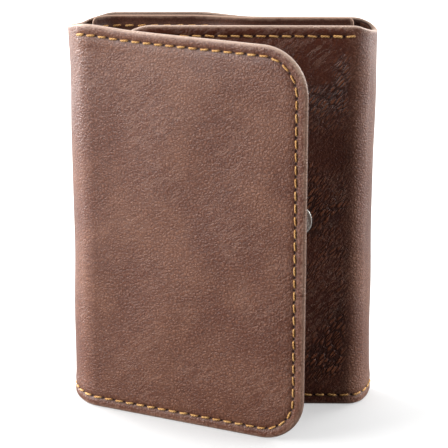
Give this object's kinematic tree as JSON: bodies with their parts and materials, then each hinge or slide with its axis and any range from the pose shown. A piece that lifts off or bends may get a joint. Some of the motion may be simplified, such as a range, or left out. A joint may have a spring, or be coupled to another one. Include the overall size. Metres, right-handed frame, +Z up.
{
  "type": "trifold wallet",
  "caption": "Leather trifold wallet with contrast stitching, a snap closing flap, a bill compartment, card slots and a clear window, hinged at its leather folds.",
  "frame": {"origin": "middle of the back panel's lower edge, at mid thickness of its outer leather", "axes": "+Z up along the folds, +Y towards the back, +X to the right as seen from the flap side"},
  "size_m": [0.08, 0.0441, 0.103],
  "materials": {
    "outer_leather": "waxed, mottled brown pull-up leather with fine grain",
    "inner_leather": "smooth dark brown",
    "lining": "fine dark brown weave",
    "thread": "golden waxed thread",
    "snap_metal": "bright nickel",
    "clear_film": "clear flexible film"
  },
  "bodies": {
    "back": {"back_shell": "outer_leather", "bill_lining": "lining", "bay_base": "lining", "bay_side_left": "lining", "bay_side_right": "lining", "bill_divider": "lining", "centre_panel": "inner_leather", "card_slot_upper": "inner_leather", "card_slot_middle": "inner_leather", "card_slot_lower": "inner_leather", "centre_stitching": "thread", "back_stitching": "thread", "left_rear_fold": "outer_leather", "right_rear_fold": "outer_leather"},
    "left_spine": {"left_spine_shell": "outer_leather", "left_spine_lining": "lining", "left_spine_stitching": "thread", "left_front_fold": "outer_leather"},
    "flap_crease": {"crease_strip": "outer_leather", "crease_stitching": "thread", "flap_bend": "outer_leather"},
    "flap": {"flap_shell": "outer_leather", "flap_stiffener": "lining", "flap_lining": "lining", "flap_pocket": "inner_leather", "snap_cap": "snap_metal", "snap_socket": "snap_metal", "flap_stitching": "thread"},
    "right_spine": {"right_spine_shell": "outer_leather", "right_spine_lining": "lining", "right_spine_stitching": "thread", "right_front_fold": "outer_leather"},
    "right_panel": {"panel_shell": "outer_leather", "panel_lining": "lining", "window_film": "clear_film", "window_frame": "inner_leather", "snap_stud": "snap_metal", "snap_rivet": "snap_metal", "panel_stitching": "thread"}
  },
  "joints": [
    {"name": "unfold", "type": "hinge", "parent": "back", "child": "left_spine", "pos_m": [-0.03925, -0.00103, 0.0515], "axis": [0, 0, -1], "range_deg": [0, 112.5], "deforming": ["left_rear_fold"]},
    {"name": "left_front_bend", "type": "hinge", "parent": "left_spine", "child": "flap_crease", "pos_m": [-0.0353, -0.01263, 0.0515], "axis": [0, 0, -1], "range_deg": [0, 39.76], "deforming": ["left_front_fold"]},
    {"name": "flap_close", "type": "hinge", "parent": "flap_crease", "child": "flap", "pos_m": [-0.03003, -0.01568, 0.0515], "axis": [0, 0, -1], "range_deg": [-26, 0], "deforming": ["flap_bend"]},
    {"name": "right_rear_bend", "type": "hinge", "parent": "back", "child": "right_spine", "pos_m": [0.0392, -0.00057, 0.0515], "axis": [0, 0, 1], "range_deg": [0, 33.01], "deforming": ["right_rear_fold"]},
    {"name": "right_front_bend", "type": "hinge", "parent": "right_spine", "child": "right_panel", "pos_m": [0.03558, -0.01174, 0.0515], "axis": [0, 0, 1], "range_deg": [0, 22.01], "deforming": ["right_front_fold"]}
  ],
  "couplings": [
    {"joint": "left_front_bend", "follows": "unfold", "ratio": 0.35333},
    {"joint": "right_rear_bend", "follows": "unfold", "ratio": 0.29333},
    {"joint": "right_front_bend", "follows": "unfold", "ratio": 0.19556}
  ]
}
